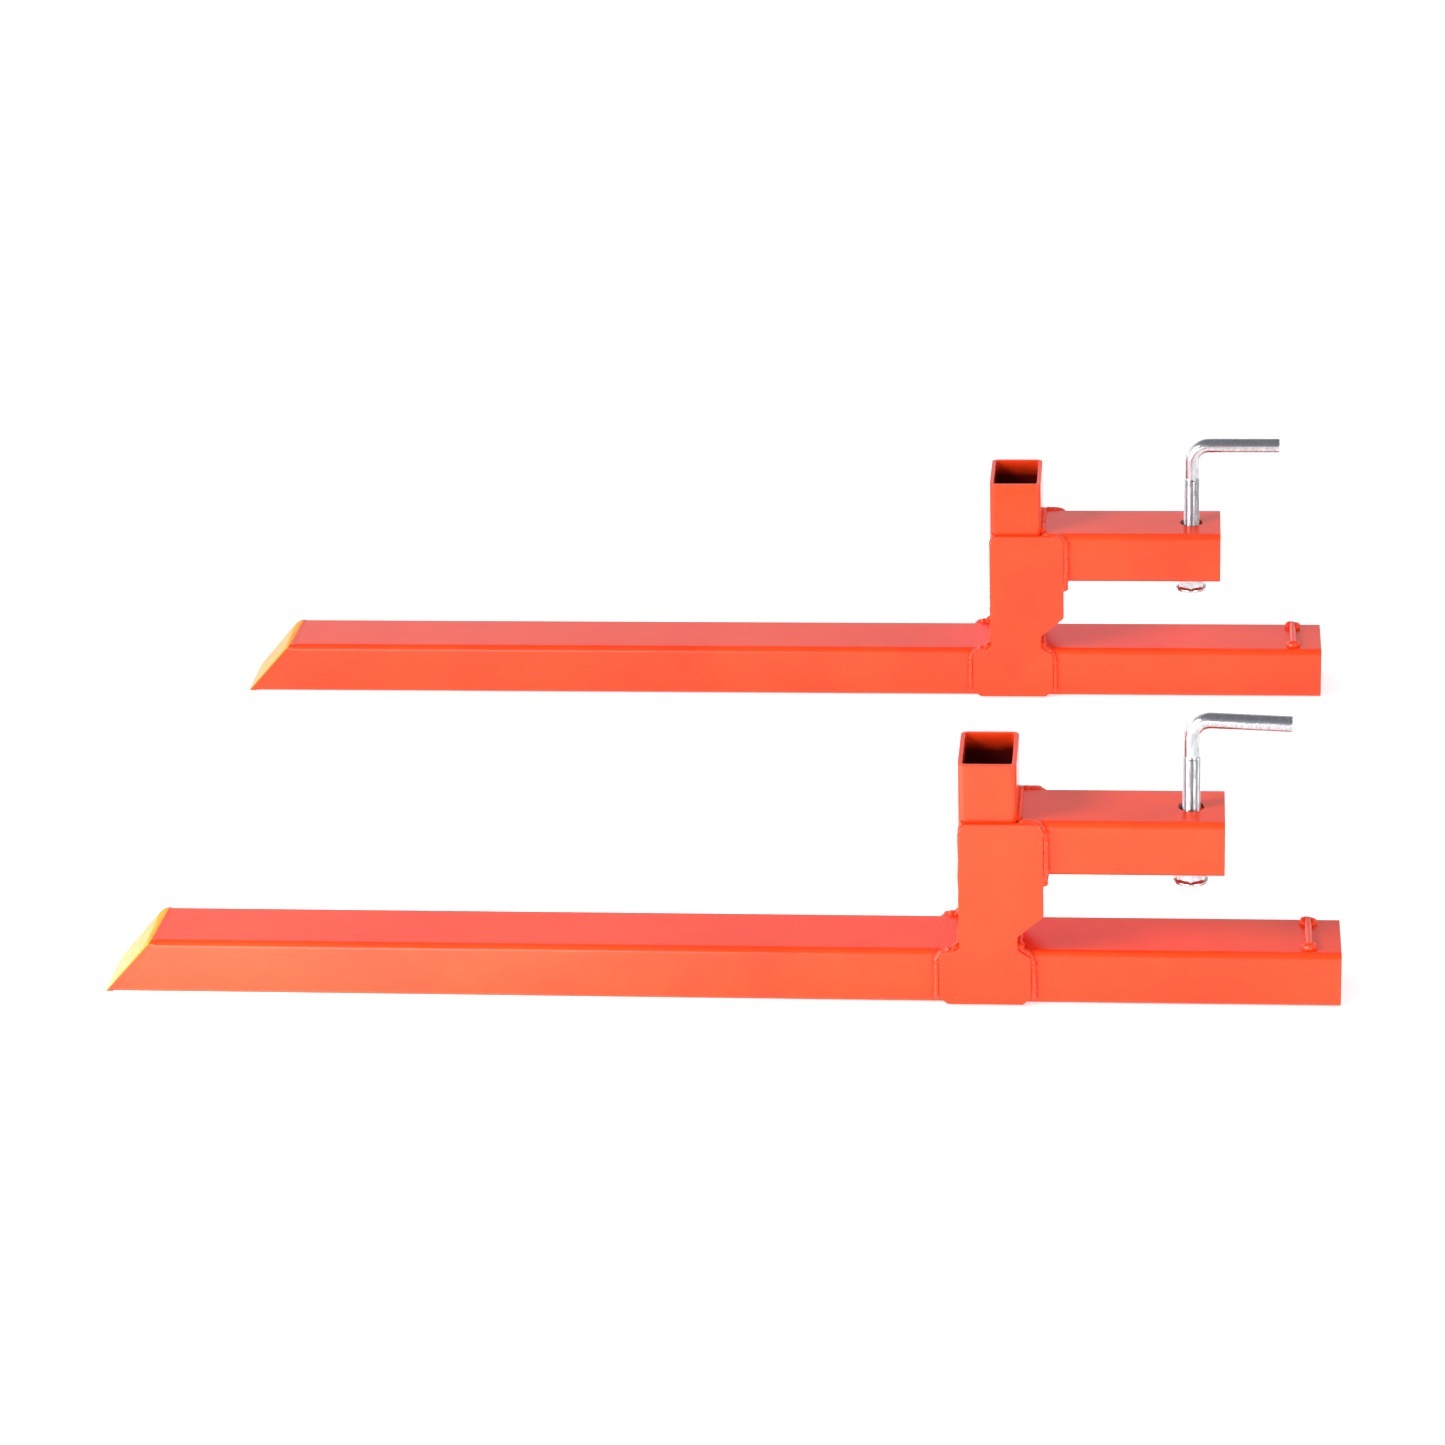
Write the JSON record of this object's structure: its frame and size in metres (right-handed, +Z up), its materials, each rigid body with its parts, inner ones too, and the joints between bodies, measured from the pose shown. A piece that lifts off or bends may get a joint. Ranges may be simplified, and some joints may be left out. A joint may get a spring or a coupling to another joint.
{
  "type": "pallet fork attachment",
  "caption": "Clamp-on bucket forks: box-tube blades with slanted tips, open uprights, gusseted clamp arms, and L-handled screws that press a foot onto the bucket's lip.",
  "frame": {"origin": "floor level under the blades, halfway along the forks and halfway between them", "axes": "+X along the forks from the tips to the rear, +Y across from the left fork to the right fork, +Z up"},
  "size_m": [1.092, 0.7928, 0.2616],
  "materials": {
    "orange_powder_coat": "glossy orange-red powder coat",
    "yellow_tip_paint": "amber-yellow marking paint on the tip faces",
    "zinc_plate": "bright zinc plate"
  },
  "bodies": {
    "left_fork": {"left_blade_tube": "orange_powder_coat", "left_tip_plate": "yellow_tip_paint", "left_upright_tube": "orange_powder_coat", "left_clamp_arm": "orange_powder_coat", "left_outer_gusset": "orange_powder_coat", "left_inner_gusset": "orange_powder_coat", "left_grip_bar": "orange_powder_coat", "left_clamp_nut": "orange_powder_coat"},
    "left_foot": {"left_pressure_foot": "zinc_plate"},
    "left_screw": {"left_clamp_screw": "zinc_plate"},
    "right_fork": {"right_blade_tube": "orange_powder_coat", "right_tip_plate": "yellow_tip_paint", "right_upright_tube": "orange_powder_coat", "right_clamp_arm": "orange_powder_coat", "right_outer_gusset": "orange_powder_coat", "right_inner_gusset": "orange_powder_coat", "right_grip_bar": "orange_powder_coat", "right_clamp_nut": "orange_powder_coat"},
    "right_foot": {"right_pressure_foot": "zinc_plate"},
    "right_screw": {"right_clamp_screw": "zinc_plate"}
  },
  "joints": [
    {"name": "fork_spacing", "type": "slide", "parent": "left_fork", "child": "right_fork", "axis": [0, 1, 0], "range_m": [-0.4, 0.5]},
    {"name": "left_foot_travel", "type": "slide", "parent": "left_fork", "child": "left_foot", "axis": [0, 0, 1], "range_m": [-0.05, 0.002]},
    {"name": "left_screw_turn", "type": "hinge", "parent": "left_foot", "child": "left_screw", "pos_m": [0.4156, -0.353, 0.148], "axis": [0, 0, 1], "range_deg": [-9000, 360]},
    {"name": "right_foot_travel", "type": "slide", "parent": "right_fork", "child": "right_foot", "axis": [0, 0, 1], "range_m": [-0.05, 0.002]},
    {"name": "right_screw_turn", "type": "hinge", "parent": "right_foot", "child": "right_screw", "pos_m": [0.4156, 0.353, 0.148], "axis": [0, 0, 1], "range_deg": [-9000, 360]}
  ],
  "couplings": [
    {"joint": "left_foot_travel", "follows": "left_screw_turn", "m_per_rad": 0.0003183},
    {"joint": "right_foot_travel", "follows": "right_screw_turn", "m_per_rad": 0.0003183}
  ]
}
